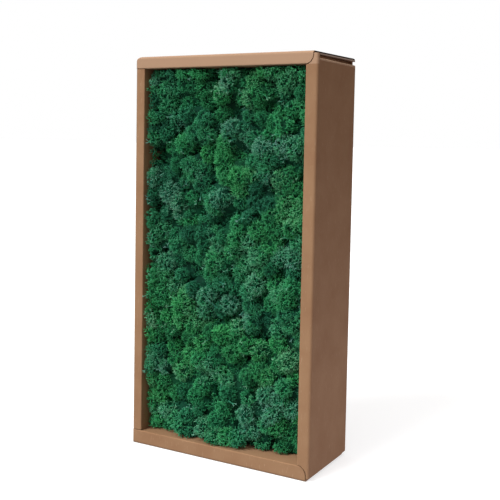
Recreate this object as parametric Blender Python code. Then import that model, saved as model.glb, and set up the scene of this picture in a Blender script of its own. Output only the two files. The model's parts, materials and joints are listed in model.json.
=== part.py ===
"""Reindeer moss packed in an open-fronted tray of folded corrugated board.

The tray stands on its short end. +Z is up, the open front faces -Y, and the origin is the middle of the
base. The tray is one folded sheet, so it is one closed body. The moss is a set of clumps, each a body of
its own: a core, round heads on its front, and lobes and pointed branchlets all over the heads.
"""

import math
import random

import bmesh
import bpy
from mathutils import Vector

MM = 0.001

# Tray, outside sizes
WIDTH = 204 * MM
DEPTH = 88 * MM
HEIGHT = 400 * MM
BOARD = 3 * MM
FOLD_RADIUS = 2.5 * MM
RIM_FOLD_RADIUS = 1 * MM
LOWER_FOLD_RADIUS = 1.2 * MM
ARC_STEPS = 4

# Tray, rolled-over walls: the width of each rim across the front, and where the plies stop
RIM_LEFT = 11 * MM
RIM_RIGHT = 12.5 * MM
RIM_TOP = 12 * MM
RIM_BOTTOM = 14.4 * MM
RIM_END_RADIUS = 8.5 * MM
RIM_CORNER_RADIUS = 7 * MM
RIM_EDGE_RADIUS = 1.9 * MM
END_INSET = 3.7 * MM
TOP_FRONT_INSET = 5.2 * MM
TOP_BACK_INSET = 1.2 * MM
SIDE_LOW = 3.7 * MM
SIDE_HIGH = HEIGHT - 6.2 * MM
STRIP_HIGH = HEIGHT - 2.2 * MM
SLIT = 0.9 * MM
TOP_LEFT_SLIT = 0.3 * MM
PLY_CLEARANCE = 0.4 * MM
CORNER_NOTCH_RADIUS = 1.5 * MM
CORNER_NOTCH_INSET = 1.2 * MM
CORNER_NOTCH_DEPTH = 6 * MM
CORNER_NOTCH_SIDES = 8
FLAP_LENGTH = 60 * MM
FLAP_STEP = 5.5 * MM
UPPER_FLAP_TOP = HEIGHT - 3.6 * MM

# Tray, tabs of the inner plies in their slots in the back panel
SIDE_TAB_LENGTH = 40 * MM
SIDE_TAB_HEIGHTS = (115 * MM, 285 * MM)
END_TAB_LENGTH = 32 * MM
END_TAB_PLACES = (-48 * MM, 48 * MM)
TAB_RECESS = 0.3 * MM

# How far a cutter reaches past what it cuts, and how close two points are to be one
CUT = 2 * MM
WELD = 0.002 * MM

FRONT = -DEPTH / 2
BACK = DEPTH / 2
LEFT = -WIDTH / 2
RIGHT = WIDTH / 2

# The space that the moss fills
INSIDE_LEFT = LEFT + RIM_LEFT
INSIDE_RIGHT = RIGHT - RIM_RIGHT
INSIDE_LOW = RIM_BOTTOM
INSIDE_HIGH = HEIGHT - RIM_TOP
INSIDE_BACK = BACK - BOARD

# Moss clumps, spread evenly over the opening
CLUMPS = 55
MOSS_GAP = 0.5 * MM
SEED = 41
SPREAD_RATIOS = (0.7548776662, 0.5698402910)
SPREAD_ROUNDS = 3
SPREAD_STEP = 4 * MM
CLUMP_DEPTH_JITTER = 3 * MM
NEIGHBOUR_REACH = 110 * MM

# Heads on a clump
TIP_RECESS = 5.5 * MM
WALL_FORWARD = 2.5 * MM
HEAD_RECESS_VARIATION = 9 * MM
STEADY_BY_WALL = 22 * MM
CREVICE_DEPTH = 10 * MM
HEADS_AROUND = (3, 4, 4)
MIDDLE_HEAD_RADIUS = (8.5 * MM, 11 * MM)
OUTER_HEAD_RADIUS = (7 * MM, 10 * MM)
HEAD_PAST_LIMIT = 0.28
HEAD_INTO_WALL = 5 * MM
BESIDE_WALL = 26 * MM
WALL_HEAD_SHIFT = 9 * MM
HEAD_TURN_VARIATION = 0.15

# Points of a clump's surface, and what stands on it
CENTRE_BEHIND_HEADS = 17 * MM
CELL_ANGLES = 48
POINTS_ROUND_HEAD = 24
POINTS_ON_FRONT = 15
POINT_CLEAR_OF_HEADS = 0.97
POINT_PAST_LIMIT = 0.25
CLOSEST_POINTS = math.radians(10.5)
LOBES_REACH_BACK = 6 * MM
LOBE_LEAN = (0.7, 1.3)
LOBE_HEIGHT = (2.2 * MM, 4.2 * MM)
LOBE_SHARE_IN_CREVICE = 0.4
BRANCHLET_HEIGHT = (5 * MM, 7.5 * MM)
BRANCHLET_FOOT = 0.36
BRANCHLET_EVERY = 3

# Places where the moss lies deeper in the tray: x, z, radius and extra depth
HOLLOWS = (
    (-88 * MM, 384 * MM, 11 * MM, 8 * MM),
    (-91 * MM, 24 * MM, 20 * MM, 10 * MM),
    (-91 * MM, 58 * MM, 18 * MM, 5 * MM),
    (60 * MM, 20 * MM, 22 * MM, 9 * MM),
    (20 * MM, 386 * MM, 11 * MM, 9 * MM),
    (37 * MM, 267 * MM, 18 * MM, 9 * MM),
    (-46 * MM, 248 * MM, 10 * MM, 9 * MM),
    (-21 * MM, 289 * MM, 9 * MM, 8 * MM),
    (58 * MM, 355 * MM, 9 * MM, 7 * MM),
    (44 * MM, 141 * MM, 11 * MM, 8 * MM),
)
# The stretch at the foot where the moss leans out over the rim: x, z and radius, and how far it comes
PROUD_PLACE = (-12 * MM, 18 * MM, 50 * MM)
PROUD_FORWARD = 6.5 * MM
PROUD_DOWN = 9 * MM

KRAFT_COLOUR = (0.36, 0.21, 0.12)
KRAFT_ROUGHNESS = 0.85
MOSS_ROUGHNESS = 0.9
MOSS_COLOURS = (
    ("moss_mid", (0.012, 0.14, 0.045)),
    ("moss_bright", (0.02, 0.19, 0.035)),
    ("moss_bluish", (0.018, 0.13, 0.07)),
)


def clear_scene():
    """Remove every object of the scene that the script starts in."""
    for old in list(bpy.data.objects):
        bpy.data.objects.remove(old, do_unlink=True)


def plain_material(name, colour, roughness):
    """A Principled material of one colour."""
    material = bpy.data.materials.new(name)
    material.use_nodes = True
    shader = material.node_tree.nodes["Principled BSDF"]
    shader.inputs["Base Color"].default_value = (*colour, 1.0)
    shader.inputs["Roughness"].default_value = roughness
    shader.inputs["Metallic"].default_value = 0.0
    return material


def object_from_bmesh(bm, name):
    """A new object in the scene that holds the bmesh, which is freed."""
    bmesh.ops.recalc_face_normals(bm, faces=bm.faces[:])
    mesh = bpy.data.meshes.new(name)
    bm.to_mesh(mesh)
    bm.free()
    made = bpy.data.objects.new(name, mesh)
    bpy.context.scene.collection.objects.link(made)
    return made


def box(name, low, high):
    """A plain block between two corners."""
    bm = bmesh.new()
    bmesh.ops.create_cube(bm, size=1.0)
    for vert in bm.verts:
        vert.co = Vector([low[i] + (vert.co[i] + 0.5) * (high[i] - low[i]) for i in range(3)])
    return object_from_bmesh(bm, name)


def prism(name, outline, plane, start, end):
    """A closed outline in plane "XY", "YZ" or "XZ", extruded along the third axis from start to end."""
    first, second = ("XYZ".index(letter) for letter in plane)
    third = 3 - first - second
    bm = bmesh.new()
    verts = []
    for a, b in outline:
        place = [0.0, 0.0, 0.0]
        place[first], place[second], place[third] = a, b, start
        verts.append(bm.verts.new(place))
    face = bm.faces.new(verts)
    extruded = bmesh.ops.extrude_face_region(bm, geom=[face])
    moved = [item for item in extruded["geom"] if isinstance(item, bmesh.types.BMVert)]
    shift = Vector((0.0, 0.0, 0.0))
    shift[third] = end - start
    bmesh.ops.translate(bm, verts=moved, vec=shift)
    return object_from_bmesh(bm, name)


def folded_sheet(path, thickness):
    """The outline of a sheet whose visible face follows the path, with a round fold at each right angle.

    The path turns clockwise all the way, and the sheet's thickness lies on the right of its direction.
    The first and the last fold, at the rims' inner edges, are sharper than the others.
    """
    points = [Vector(point) for point in path]
    steps = [(b - a).normalized() for a, b in zip(points, points[1:])]
    visible = [points[0]]
    hidden = [points[0] + Vector((steps[0].y, -steps[0].x)) * thickness]
    for corner, before, after in zip(points[1:-1], steps, steps[1:]):
        radius = RIM_FOLD_RADIUS if corner in (points[1], points[-2]) else FOLD_RADIUS
        centre = corner - before * radius + after * radius
        for step in range(ARC_STEPS + 1):
            angle = math.radians(90) * step / ARC_STEPS
            visible.append(centre + (before * math.sin(angle) - after * math.cos(angle)) * radius)
        hidden.append(corner - before * thickness + after * thickness)
    visible.append(points[-1])
    hidden.append(points[-1] + Vector((steps[-1].y, -steps[-1].x)) * thickness)
    return [tuple(point) for point in visible + hidden[::-1]]


def corner_outline(corner, inward, radius):
    """What a rounding of the radius takes off a square corner whose material lies in the inward direction."""
    x, y = corner
    right, up = inward
    outline = [(x - right * CUT, y - up * CUT), (x + right * radius, y - up * CUT)]
    for step in range(ARC_STEPS + 1):
        angle = math.radians(90) * step / ARC_STEPS
        outline.append(
            (
                x + right * radius * (1 - math.sin(angle)),
                y + up * radius * (1 - math.cos(angle)),
            )
        )
    outline.append((x - right * CUT, y + up * radius))
    return outline


def combine(target, others, operation):
    """Apply one exact Boolean of the target with a collection of objects, and remove them.

    Points of the result that are as good as equal become one.
    """
    group = bpy.data.collections.new("operands")
    for other in others:
        group.objects.link(other)
    modifier = target.modifiers.new("combine", "BOOLEAN")
    modifier.operation = operation
    modifier.solver = "EXACT"
    modifier.operand_type = "COLLECTION"
    modifier.collection = group
    depsgraph = bpy.context.evaluated_depsgraph_get()
    result = bpy.data.meshes.new_from_object(target.evaluated_get(depsgraph))
    bm = bmesh.new()
    bm.from_mesh(result)
    bmesh.ops.remove_doubles(bm, verts=bm.verts[:], dist=WELD)
    bm.to_mesh(result)
    bm.free()
    target.modifiers.clear()
    target.data = result
    for other in others:
        bpy.data.objects.remove(other, do_unlink=True)
    bpy.data.collections.remove(group)


def side_sheet():
    """The side walls with the back panel between them, rolled over at the rims, with their dust flaps."""
    ply_back = INSIDE_BACK - PLY_CLEARANCE
    path = [
        (INSIDE_LEFT, ply_back),
        (INSIDE_LEFT, FRONT),
        (LEFT, FRONT),
        (LEFT, BACK),
        (RIGHT, BACK),
        (RIGHT, FRONT),
        (INSIDE_RIGHT, FRONT),
        (INSIDE_RIGHT, ply_back),
    ]
    sheet = prism("sheet", folded_sheet(path, BOARD), "XY", SIDE_LOW, STRIP_HIGH)

    # Above the outer plies' upper folds, only the rims' strips go on
    cutters = [box("above", (LEFT - CUT, FRONT + BOARD, SIDE_HIGH), (RIGHT + CUT, BACK + CUT, HEIGHT))]
    # The inner plies stop short of the dust flaps
    ply_low = SIDE_LOW + BOARD + SLIT
    ply_high = SIDE_HIGH - BOARD - SLIT
    for near, far in (
        (LEFT + BOARD + SLIT, INSIDE_LEFT + CUT),
        (INSIDE_RIGHT - CUT, RIGHT - BOARD - SLIT),
    ):
        cutters.append(box("under", (near, FRONT + BOARD, 0), (far, INSIDE_BACK, ply_low)))
        cutters.append(box("over", (near, FRONT + BOARD, ply_high), (far, INSIDE_BACK, SIDE_HIGH + CUT)))
    combine(sheet, cutters, "DIFFERENCE")

    # The upper flaps rise in a step to the top wall that they press against
    flaps = []
    for wall, inward in ((LEFT, 1), (RIGHT, -1)):
        root = wall + inward * BOARD / 2
        step = wall + inward * FLAP_STEP
        after_step = step + inward * BOARD
        tip = wall + inward * FLAP_LENGTH
        for start, end, low in (
            (root, tip, SIDE_LOW),
            (root, after_step, SIDE_HIGH - BOARD),
            (step, tip, UPPER_FLAP_TOP - BOARD),
        ):
            near, far = sorted((start, end))
            flaps.append(box("flap", (near, FRONT + BOARD + SLIT, low), (far, ply_back, low + BOARD)))
    combine(sheet, flaps, "UNION")

    # The folds into the dust flaps are round
    rounds = []
    for x, right in ((LEFT, 1), (RIGHT, -1)):
        for z, up, radius in ((SIDE_LOW, 1, LOWER_FOLD_RADIUS), (SIDE_HIGH, -1, FOLD_RADIUS)):
            outline = corner_outline((x, z), (right, up), radius)
            rounds.append(prism("round", outline, "XZ", FRONT + BOARD, BACK + CUT))
    combine(sheet, rounds, "DIFFERENCE")
    return sheet


def rim_space(low, high, up, left_slit, inset):
    """The room that an end wall's rim takes across the side rims, with a slit beside it.

    up is the direction from the wall towards the moss. The left end goes on past the side rim, and the
    right end is a quarter circle on that side. left_slit is the slit's width at the left end, and inset
    is how far the rim's right end is from the tray's side.
    """
    radius = RIM_END_RADIUS + SLIT
    right = RIGHT - inset + SLIT
    moss_side = (high + SLIT) if up > 0 else (low - SLIT)
    wall_side = (low - CUT) if up > 0 else (high + CUT)
    outline = [
        (INSIDE_LEFT, moss_side + up * (left_slit - SLIT)),
        (LEFT - CUT, moss_side + up * (left_slit - SLIT)),
        (LEFT - CUT, wall_side),
        (right, wall_side),
    ]
    for step in range(ARC_STEPS + 1):
        angle = math.radians(90) * step / ARC_STEPS
        outline.append(
            (
                right - radius * (1 - math.cos(angle)),
                moss_side - up * radius * (1 - math.sin(angle)),
            )
        )
    return prism("rim_space", outline, "XZ", FRONT - CUT, FRONT + BOARD + SLIT)


def end_sheet():
    """The end walls with the back panel between them, rolled over at the rims."""
    path = [
        (FRONT + BOARD, HEIGHT - RIM_TOP),
        (FRONT, HEIGHT - RIM_TOP),
        (FRONT, HEIGHT),
        (BACK, HEIGHT),
        (BACK, 0.0),
        (FRONT, 0.0),
        (FRONT, RIM_BOTTOM),
        (FRONT + BOARD, RIM_BOTTOM),
    ]
    outline = folded_sheet(path, BOARD)
    sheet = prism("end_sheet", outline, "YZ", LEFT, RIGHT - TOP_BACK_INSET)

    # Behind the rims the walls are narrower, so that only the rims' left ends are flush with the tray's side
    cutters = [box("beside", (LEFT - CUT, FRONT + BOARD, -CUT), (LEFT + END_INSET, BACK + CUT, HEIGHT + CUT))]
    # The right side is cut back as well, and the top wall's runs out at a slant towards the back
    low_right = RIGHT - END_INSET
    cutters.append(box("beside", (low_right, FRONT - CUT, -CUT), (RIGHT, BACK + CUT, HEIGHT - BOARD)))
    top_right = RIGHT - TOP_FRONT_INSET
    slant = [(top_right, FRONT - CUT), (RIGHT, FRONT - CUT), (RIGHT, BACK)]
    slant += [(RIGHT - TOP_BACK_INSET, BACK), (top_right, FRONT + BOARD + SLIT)]
    cutters.append(prism("slant", slant, "XY", HEIGHT - RIM_TOP - CUT, HEIGHT + CUT))
    for right, z, up in ((low_right, RIM_BOTTOM, -1), (top_right, HEIGHT - RIM_TOP, 1)):
        outline = corner_outline((right, z), (-1, up), RIM_END_RADIUS)
        cutters.append(prism("round", outline, "XZ", FRONT - CUT, FRONT + BOARD + SLIT))
    outline = corner_outline((LEFT, HEIGHT), (1, -1), RIM_CORNER_RADIUS)
    cutters.append(prism("round", outline, "XZ", FRONT - CUT, FRONT + BOARD + CUT))
    outline = corner_outline((LEFT, FRONT), (1, 1), RIM_EDGE_RADIUS)
    cutters.append(prism("round", outline, "XY", -CUT, HEIGHT + CUT))
    combine(sheet, cutters, "DIFFERENCE")
    return sheet


def end_inner_plies():
    """The inner plies of the end walls, which lie between those of the side walls."""
    near = INSIDE_LEFT + PLY_CLEARANCE
    far = INSIDE_RIGHT - PLY_CLEARANCE
    start = FRONT + BOARD / 2
    end = INSIDE_BACK - PLY_CLEARANCE
    return [
        box("inner_ply", (near, start, RIM_BOTTOM - BOARD), (far, end, RIM_BOTTOM)),
        box("inner_ply", (near, start, HEIGHT - RIM_TOP), (far, end, HEIGHT - RIM_TOP + BOARD)),
    ]


def tab_boxes(grow, start, end):
    """The tabs of the inner plies as boxes from one depth to another, grown all round, such as for slots."""
    boxes = []
    for left in (INSIDE_LEFT - BOARD, INSIDE_RIGHT):
        for middle in SIDE_TAB_HEIGHTS:
            low = (left - grow, start, middle - SIDE_TAB_LENGTH / 2 - grow)
            high = (left + BOARD + grow, end, middle + SIDE_TAB_LENGTH / 2 + grow)
            boxes.append(box("tab", low, high))
    for bottom in (RIM_BOTTOM - BOARD, HEIGHT - RIM_TOP):
        for middle in END_TAB_PLACES:
            low = (middle - END_TAB_LENGTH / 2 - grow, start, bottom - grow)
            high = (middle + END_TAB_LENGTH / 2 + grow, end, bottom + BOARD + grow)
            boxes.append(box("tab", low, high))
    return boxes


def corner_notches():
    """The small round notches at the right ends of the rims, where the folds of two walls meet."""
    notches = []
    for z in (RIM_BOTTOM, HEIGHT - RIM_TOP):
        notch = bmesh.new()
        bmesh.ops.create_cone(
            notch,
            cap_ends=True,
            segments=CORNER_NOTCH_SIDES,
            radius1=CORNER_NOTCH_RADIUS,
            radius2=CORNER_NOTCH_RADIUS,
            depth=2 * CORNER_NOTCH_DEPTH,
        )
        middle = Vector((INSIDE_RIGHT - CORNER_NOTCH_INSET, FRONT, z))
        for vert in notch.verts:
            vert.co = middle + Vector((vert.co.x, vert.co.z, vert.co.y))
        notches.append(object_from_bmesh(notch, "corner_notch"))
    return notches


def build_tray():
    """The whole folded sheet as one body."""
    tray = side_sheet()
    spaces = [
        rim_space(0.0, RIM_BOTTOM, 1, SLIT, END_INSET),
        rim_space(HEIGHT - RIM_TOP, HEIGHT, -1, TOP_LEFT_SLIT, TOP_FRONT_INSET),
    ]
    combine(tray, spaces, "DIFFERENCE")
    combine(tray, [end_sheet(), *end_inner_plies()], "UNION")
    combine(tray, corner_notches(), "DIFFERENCE")
    combine(tray, tab_boxes(PLY_CLEARANCE, INSIDE_BACK - PLY_CLEARANCE / 2, BACK + CUT), "DIFFERENCE")
    combine(tray, tab_boxes(0.0, INSIDE_BACK - BOARD, BACK - TAB_RECESS), "UNION")
    tray.name = "corrugated_tray"
    tray.data.name = "corrugated_tray"
    tray.data.materials.clear()
    tray.data.materials.append(plain_material("kraft_board", KRAFT_COLOUR, KRAFT_ROUGHNESS))
    for polygon in tray.data.polygons:
        polygon.material_index = 0


def proud_share(x, z):
    """How far a place belongs to the stretch where the moss leans out over the rim, from 0 to 1."""
    proud_x, proud_z, radius = PROUD_PLACE
    away = math.hypot(x - proud_x, z - proud_z) / radius
    return math.exp(-away * away)


def front_recess(x, z):
    """How deep behind the rims the moss lies at a place. It is less beside the left and the top wall."""
    from_wall = max(0.0, min(x - INSIDE_LEFT, INSIDE_HIGH - z))
    recess = TIP_RECESS - WALL_FORWARD * max(0.0, 1 - from_wall / STEADY_BY_WALL)
    for hollow_x, hollow_z, radius, depth in HOLLOWS:
        away = math.hypot(x - hollow_x, z - hollow_z) / radius
        recess += depth * math.exp(-away * away)
    return recess - PROUD_FORWARD * proud_share(x, z)


def clump_places():
    """The clumps' places: an even sequence, then each moved to the middle of what lies nearest to it."""
    draw = random.Random(SEED)
    places = []
    for number in range(CLUMPS):
        across, up = ((number * ratio) % 1.0 for ratio in SPREAD_RATIOS)
        x = INSIDE_LEFT + across * (INSIDE_RIGHT - INSIDE_LEFT)
        z = INSIDE_LOW + up * (INSIDE_HIGH - INSIDE_LOW)
        places.append(Vector((x, 0.0, z)))
    columns = int((INSIDE_RIGHT - INSIDE_LEFT) / SPREAD_STEP)
    rows = int((INSIDE_HIGH - INSIDE_LOW) / SPREAD_STEP)
    for _ in range(SPREAD_ROUNDS):
        sums = [Vector() for _ in places]
        counts = [0] * CLUMPS
        for number in range(columns * rows):
            row, column = divmod(number, columns)
            x = INSIDE_LEFT + (column + 0.5) * SPREAD_STEP
            z = INSIDE_LOW + (row + 0.5) * SPREAD_STEP
            point = Vector((x, 0.0, z))
            nearest = min(range(CLUMPS), key=lambda index: (places[index] - point).length_squared)
            sums[nearest] += point
            counts[nearest] += 1
        places = [total / max(count, 1) for total, count in zip(sums, counts)]
    for place in places:
        place.y = FRONT + draw.uniform(0, CLUMP_DEPTH_JITTER)
    return sorted(places, key=lambda place: (-place.z, place.x))


def clump_limits(place, places, slack=0.0):
    """The planes that hold a clump in, each as a normal and an offset: its neighbours and the tray.

    slack moves the tray's side and end walls outwards.
    """
    limits = []
    for other in places:
        away = other - place
        if 0 < away.length < NEIGHBOUR_REACH:
            normal = away.normalized()
            limits.append((normal, normal.dot((place + other) / 2) - MOSS_GAP / 2))
    for normal, wall in (
        ((-1, 0, 0), slack - INSIDE_LEFT),
        ((1, 0, 0), slack + INSIDE_RIGHT),
        ((0, 0, -1), slack - INSIDE_LOW),
        ((0, 0, 1), slack + INSIDE_HIGH),
        ((0, -1, 0), -FRONT),
        ((0, 1, 0), INSIDE_BACK),
    ):
        limits.append((Vector(normal), wall - MOSS_GAP))
    return limits


def reach_of_planes(centre, direction, limits):
    """How far a ray from the centre goes before it meets one of the planes."""
    reach = DEPTH
    for normal, offset in limits:
        speed = normal.dot(direction)
        if speed > 0:
            reach = min(reach, (offset - normal.dot(centre)) / speed)
    return reach


def clump_heads(index, places):
    """The round heads of one clump, each as a centre and a radius: one in the middle, others round it.

    A clump beside the left or the top wall has two more, pressed against the wall.
    """
    draw = random.Random(SEED + index + 1)
    place = places[index]
    limits = clump_limits(place, places, HEAD_INTO_WALL)
    spots = [(place.x, place.z, draw.uniform(*MIDDLE_HEAD_RADIUS))]
    around = draw.choice(HEADS_AROUND)
    turn = draw.uniform(0, math.tau)
    for number in range(around):
        turned = draw.uniform(-HEAD_TURN_VARIATION, HEAD_TURN_VARIATION)
        angle = turn + math.tau * (number + turned) / around
        across = Vector((math.cos(angle), 0.0, math.sin(angle)))
        radius = draw.uniform(*OUTER_HEAD_RADIUS)
        distance = reach_of_planes(place, across, limits) - radius * (1 - HEAD_PAST_LIMIT)
        distance = max(distance, radius / 2)
        spots.append((place.x + across.x * distance, place.z + across.z * distance, radius))
    for shift in (-WALL_HEAD_SHIFT, WALL_HEAD_SHIFT):
        if place.x < INSIDE_LEFT + BESIDE_WALL:
            radius = draw.uniform(*OUTER_HEAD_RADIUS)
            spots.append((INSIDE_LEFT + radius / 3, place.z + shift, radius))
        if place.z > INSIDE_HIGH - BESIDE_WALL:
            radius = draw.uniform(*OUTER_HEAD_RADIUS)
            spots.append((place.x + shift, INSIDE_HIGH - radius / 3, radius))
    heads = []
    for x, z, radius in spots:
        proud = proud_share(x, z)
        from_wall = max(0.0, min(x - INSIDE_LEFT, INSIDE_HIGH - z))
        free = min(1.0, from_wall / STEADY_BY_WALL) * (1 - proud)
        recess = front_recess(x, z) + draw.uniform(0, HEAD_RECESS_VARIATION) * free
        z = max(z - PROUD_DOWN * proud, INSIDE_LOW + radius / 2)
        heads.append((Vector((x, FRONT + recess + radius, z)), radius))
    return heads


def reach_of_heads(centre, direction, heads):
    """How far a ray from the centre goes before it leaves the last head that it meets."""
    reach = 0.0
    for middle, radius in heads:
        along = (middle - centre).dot(direction)
        square = radius**2 - ((middle - centre).length_squared - along**2)
        if square > 0:
            reach = max(reach, along + math.sqrt(square))
    return reach


def even_directions(count):
    """Evenly spread unit vectors, by a golden-angle spiral from the front to the back."""
    golden = math.pi * (3 - math.sqrt(5))
    vectors = []
    for number in range(count):
        y = -1 + 2 * (number + 0.5) / count
        ring = math.sqrt(1 - y * y)
        vectors.append(Vector((ring * math.cos(golden * number), y, ring * math.sin(golden * number))))
    return vectors


def cell_corners(centre, depth, limits):
    """The corners of a clump's cell at a depth: where its limits are furthest away."""
    middle = Vector((centre.x, depth, centre.z))
    rays = []
    for number in range(CELL_ANGLES):
        angle = math.tau * number / CELL_ANGLES
        across = Vector((math.cos(angle), 0.0, math.sin(angle)))
        rays.append(across * reach_of_planes(middle, across, limits))
    corners = []
    for before, ray, after in zip(rays[-1:] + rays[:-1], rays, rays[1:] + rays[:1]):
        if ray.length >= before.length and ray.length > after.length:
            corners.append(middle + ray)
    return corners


def clump_directions(centre, core_front, heads, limits):
    """The directions from a clump's centre to the points of its surface, none too close to another."""
    wanted = []
    for depth in (INSIDE_BACK - 2 * MOSS_GAP, core_front):
        wanted += [corner - centre for corner in cell_corners(centre, depth, limits)]
    for middle, radius in heads:
        past = radius * POINT_PAST_LIMIT
        for vector in even_directions(POINTS_ROUND_HEAD)[:POINTS_ON_FRONT]:
            point = middle + vector * radius
            if all((point - other).length > POINT_CLEAR_OF_HEADS * size for other, size in heads):
                if all(normal.dot(point) < offset + past for normal, offset in limits):
                    wanted.append(point - centre)
    kept = []
    for direction in wanted:
        direction = direction.normalized()
        if all(direction.angle(other) > CLOSEST_POINTS for other in kept):
            kept.append(direction)
    return kept


def raise_lobe(bm, face, centre, core_front, limits, draw, slim):
    """Put a pointed lobe on a face, lower in a crevice, with a slim branchlet as its tip if asked."""
    corners = list(face.verts)
    weights = [draw.uniform(*LOBE_LEAN) for _ in corners]
    base = sum((corner.co * weight for corner, weight in zip(corners, weights)), Vector()) / sum(weights)
    direction = (base - centre).normalized()
    on_head = min(max((core_front - base.y) / CREVICE_DEPTH, 0.0), 1.0)
    share = LOBE_SHARE_IN_CREVICE + (1 - LOBE_SHARE_IN_CREVICE) * on_head
    height = draw.uniform(*(BRANCHLET_HEIGHT if slim else LOBE_HEIGHT)) * share
    bm.faces.remove(face)
    if slim:
        lift = direction * min(draw.uniform(*LOBE_HEIGHT) / 2, height)
        ring = []
        for corner in corners:
            point = base + (corner.co - base) * BRANCHLET_FOOT + lift
            ray = (point - centre).normalized()
            length = min((point - centre).length, reach_of_planes(centre, ray, limits))
            ring.append(bm.verts.new(centre + ray * length))
        for near, far, low, high in zip(corners, corners[1:] + corners[:1], ring, ring[1:] + ring[:1]):
            bm.faces.new((near, far, high))
            bm.faces.new((near, high, low))
        corners = ring
    length = min((base - centre).length + height, reach_of_planes(centre, direction, limits))
    tip = bm.verts.new(centre + direction * length)
    for near, far in zip(corners, corners[1:] + corners[:1]):
        bm.faces.new((near, far, tip))


def build_clump(index, places, materials):
    """One clump: a surface that every ray from its centre crosses once, with lobes on its front."""
    draw = random.Random(SEED - index)
    place = places[index]
    limits = clump_limits(place, places)
    heads = clump_heads(index, places)
    deepest = max(middle.y for middle, _ in heads)
    centre = Vector((place.x, min(deepest + CENTRE_BEHIND_HEADS, INSIDE_BACK - CENTRE_BEHIND_HEADS), place.z))
    core_front = sum(middle.y - radius for middle, radius in heads) / len(heads) + CREVICE_DEPTH
    core = limits + [(Vector((0, -1, 0)), -core_front)]

    bm = bmesh.new()
    for direction in clump_directions(centre, core_front, heads, limits):
        bm.verts.new(direction)
    hull = bmesh.ops.convex_hull(bm, input=bm.verts[:])
    assert not hull["geom_interior"]
    bmesh.ops.recalc_face_normals(bm, faces=bm.faces[:])
    for vert in bm.verts:
        direction = vert.co.normalized()
        reach = max(reach_of_planes(centre, direction, core), reach_of_heads(centre, direction, heads))
        vert.co = centre + direction * min(reach, reach_of_planes(centre, direction, limits))

    number = 0
    for face in list(bm.faces):
        if max(vert.co.y for vert in face.verts) < core_front + LOBES_REACH_BACK:
            number += 1
            raise_lobe(bm, face, centre, core_front, limits, draw, number % BRANCHLET_EVERY == 0)
    clump = object_from_bmesh(bm, f"moss_clump_{index + 1:02d}")
    clump.data.materials.append(draw.choice(materials))
    return clump


def main():
    clear_scene()
    build_tray()
    materials = [plain_material(name, colour, MOSS_ROUGHNESS) for name, colour in MOSS_COLOURS]
    places = clump_places()
    for index in range(len(places)):
        build_clump(index, places, materials)


main()
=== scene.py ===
"""The looks of the boxed reindeer moss: kraft board on the tray, and fine forked tufts on every clump."""

import json
import math
import random
from collections import namedtuple

import bpy
import numpy as np
from mathutils import Matrix, Vector

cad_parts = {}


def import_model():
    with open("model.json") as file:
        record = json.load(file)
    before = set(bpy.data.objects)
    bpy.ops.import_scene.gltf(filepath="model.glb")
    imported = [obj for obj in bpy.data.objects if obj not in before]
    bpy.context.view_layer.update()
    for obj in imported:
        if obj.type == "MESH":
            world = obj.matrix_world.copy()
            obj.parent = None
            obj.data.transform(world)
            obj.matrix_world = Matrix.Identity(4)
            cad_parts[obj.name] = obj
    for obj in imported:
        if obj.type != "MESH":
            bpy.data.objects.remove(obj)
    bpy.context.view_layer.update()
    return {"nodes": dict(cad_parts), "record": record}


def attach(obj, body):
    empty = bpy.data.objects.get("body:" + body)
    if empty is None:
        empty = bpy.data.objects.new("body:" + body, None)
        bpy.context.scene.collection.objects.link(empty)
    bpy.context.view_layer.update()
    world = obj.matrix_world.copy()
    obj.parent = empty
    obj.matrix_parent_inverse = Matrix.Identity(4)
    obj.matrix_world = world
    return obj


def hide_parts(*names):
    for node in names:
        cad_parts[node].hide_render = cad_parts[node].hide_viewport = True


MM = 0.001
SEED = 7
WELD = 0.001 * MM

# Camera, worked out from the tray's edges in the photograph
CAMERA_PLACE = (0.43382, -0.75271, 0.31676)
CAMERA_AZIMUTH = 0.51365
CAMERA_DIP = 0.0682
CAMERA_ROLL = 0.01864
FRAME_WIDTH = 500
FOCAL_PIXELS = 858.88
SENSOR_WIDTH = 36.0
SHIFT_UP = -0.10
CLIP_START = 0.01

# Light: the surround, and soft suns, each by the direction that it comes from, its width in degrees and
# its strength
WHITE = (1.0, 1.0, 1.0)
SKY_STRENGTH = 0.42
SKY_FROM_RIGHT = (0.55, 0.375, 0.27)
SUNS = (
    ("key", (-0.35, -0.8, 0.75), 30, 3.3),
    ("top", (0.05, -0.25, 1.0), 60, 1.0),
)

# The light that the floor throws on the tray's right side: a square lamp, aimed at the side's foot
BOUNCE_PLACE = (0.34, 0.0, 0.01)
BOUNCE_AIM = (0.10, 0.0, 0.04)
BOUNCE_SIZE = 0.25
BOUNCE_POWER = 0.38
BOUNCE_COLOUR = (0.85, 0.88, 1.1)

# Floor, which reaches as far as this each way from the tray
FLOOR_REACH = 60
FLOOR_COLOUR = (0.5, 0.5, 0.5)
FLOOR_GLOW = 0.65
FLOOR_ROUGHNESS = 0.9
FLOOR_SPECULAR = 0.1

# Tray, as the solids have it
TRAY = "corrugated_tray"
FRONT = -44 * MM
LEFT = -102 * MM
RIGHT = 102 * MM
HEIGHT = 400 * MM
DEPTH = 88 * MM
INSIDE_BACK = 41 * MM
BOARD = 3 * MM
SIDE_HIGH = HEIGHT - 6.2 * MM
RIM_TOP = 12 * MM
RIM_BOTTOM = 14.4 * MM
INSIDE_LEFT = -91 * MM
INSIDE_RIGHT = 89.5 * MM
INSIDE_LOW = RIM_BOTTOM
INSIDE_HIGH = HEIGHT - RIM_TOP

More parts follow.
